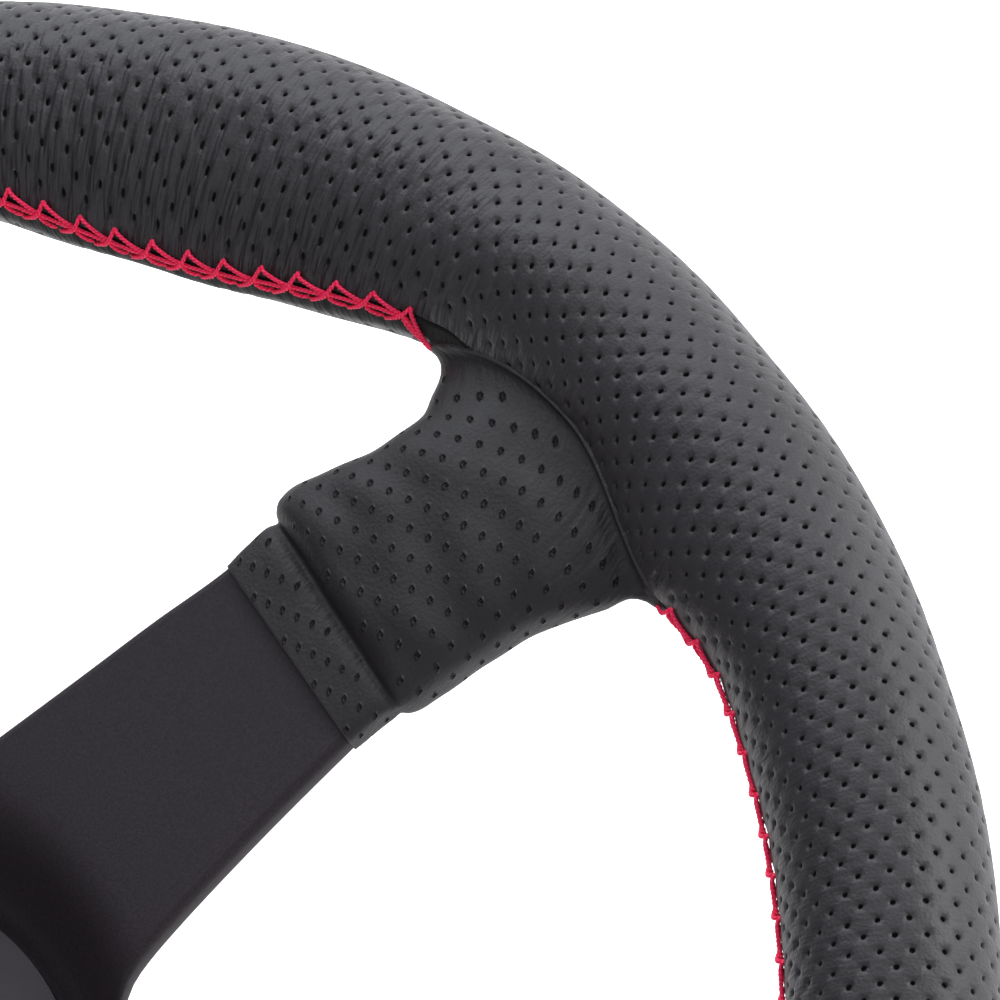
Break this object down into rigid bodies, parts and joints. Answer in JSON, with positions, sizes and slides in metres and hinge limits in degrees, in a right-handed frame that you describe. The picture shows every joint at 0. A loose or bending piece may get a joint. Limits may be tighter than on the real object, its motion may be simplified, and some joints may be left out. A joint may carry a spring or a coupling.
{
  "type": "quick release steering wheel",
  "caption": "Leather-wrapped round sport steering wheel with dished spokes and a ball-lock hub that pulls off its splined column boss.",
  "frame": {"origin": "centre of the column flange's mounting face, on the steering axis", "axes": "+Z along the steering axis towards the driver, +X the wheel's three o'clock, +Y its twelve o'clock"},
  "size_m": [0.35, 0.35, 0.0854],
  "materials": {
    "rim_leather": "perforated, semi-matte",
    "boot_leather": "perforated, semi-matte",
    "red_thread": "twisted thread",
    "matt_black": "matte powder coat",
    "black_anodised": "satin anodised",
    "red_anodised": "satin anodised",
    "steel": "satin",
    "polished_steel": "polished",
    "black_steel": "black oxide",
    "foam": "moulded foam",
    "black_plastic": "moulded",
    "horn_plastic": "gloss",
    "brass": "satin"
  },
  "bodies": {
    "column": {"column_flange": "black_anodised", "column_stub": "steel"},
    "wheel": {"quick_release_hub": "black_anodised", "collar_circlip": "steel", "collar_spring": "steel", "spoke_plate": "matt_black", "rim_hoop": "steel", "spoke_rivets": "steel", "rim_foam": "foam", "thumb_rest_right": "foam", "thumb_rest_left": "foam", "hub_screws": "black_steel", "horn_ring": "black_anodised", "horn_cup": "black_plastic", "horn_contact": "brass", "horn_spring": "steel", "rim_leather_top": "rim_leather", "seam_thread_top": "red_thread", "rim_leather_left": "rim_leather", "seam_thread_left": "red_thread", "rim_leather_right": "rim_leather", "seam_thread_right": "red_thread", "boot_pad_right": "foam", "spoke_boot_right": "boot_leather", "boot_pad_left": "foam", "spoke_boot_left": "boot_leather", "boot_pad_lower": "foam", "spoke_boot_lower": "boot_leather"},
    "collar": {"release_collar": "red_anodised"},
    "horn": {"horn_button": "horn_plastic"},
    "ball_1": {"lock_ball_1": "polished_steel"},
    "ball_2": {"lock_ball_2": "polished_steel"},
    "ball_3": {"lock_ball_3": "polished_steel"},
    "ball_4": {"lock_ball_4": "polished_steel"},
    "ball_5": {"lock_ball_5": "polished_steel"},
    "ball_6": {"lock_ball_6": "polished_steel"}
  },
  "joints": [
    {"name": "wheel_pull_off", "type": "slide", "parent": "column", "child": "wheel", "axis": [0, 0, 1], "range_m": [0, 0.048]},
    {"name": "collar_pull", "type": "slide", "parent": "wheel", "child": "collar", "axis": [0, 0, 1], "range_m": [0, 0.008], "stiffness_N_per_m": 1500, "springref_m": -0.003, "deforming": ["collar_spring"]},
    {"name": "horn_press", "type": "slide", "parent": "wheel", "child": "horn", "axis": [0, 0, -1], "range_m": [0, 0.0025], "stiffness_N_per_m": 1200, "springref_m": -0.0015, "deforming": ["horn_spring"]},
    {"name": "ball_1_out", "type": "slide", "parent": "wheel", "child": "ball_1", "axis": [1, 0, 0], "range_m": [0, 0.0016]},
    {"name": "ball_2_out", "type": "slide", "parent": "wheel", "child": "ball_2", "axis": [0.5, 0.866, 0], "range_m": [0, 0.0016]},
    {"name": "ball_3_out", "type": "slide", "parent": "wheel", "child": "ball_3", "axis": [-0.5, 0.866, 0], "range_m": [0, 0.0016]},
    {"name": "ball_4_out", "type": "slide", "parent": "wheel", "child": "ball_4", "axis": [-1, 0, 0], "range_m": [0, 0.0016]},
    {"name": "ball_5_out", "type": "slide", "parent": "wheel", "child": "ball_5", "axis": [-0.5, -0.866, 0], "range_m": [0, 0.0016]},
    {"name": "ball_6_out", "type": "slide", "parent": "wheel", "child": "ball_6", "axis": [0.5, -0.866, 0], "range_m": [0, 0.0016]}
  ],
  "couplings": [
    {"joint": "ball_1_out", "follows": "collar_pull", "ratio": 0.2},
    {"joint": "ball_2_out", "follows": "collar_pull", "ratio": 0.2},
    {"joint": "ball_3_out", "follows": "collar_pull", "ratio": 0.2},
    {"joint": "ball_4_out", "follows": "collar_pull", "ratio": 0.2},
    {"joint": "ball_5_out", "follows": "collar_pull", "ratio": 0.2},
    {"joint": "ball_6_out", "follows": "collar_pull", "ratio": 0.2}
  ]
}
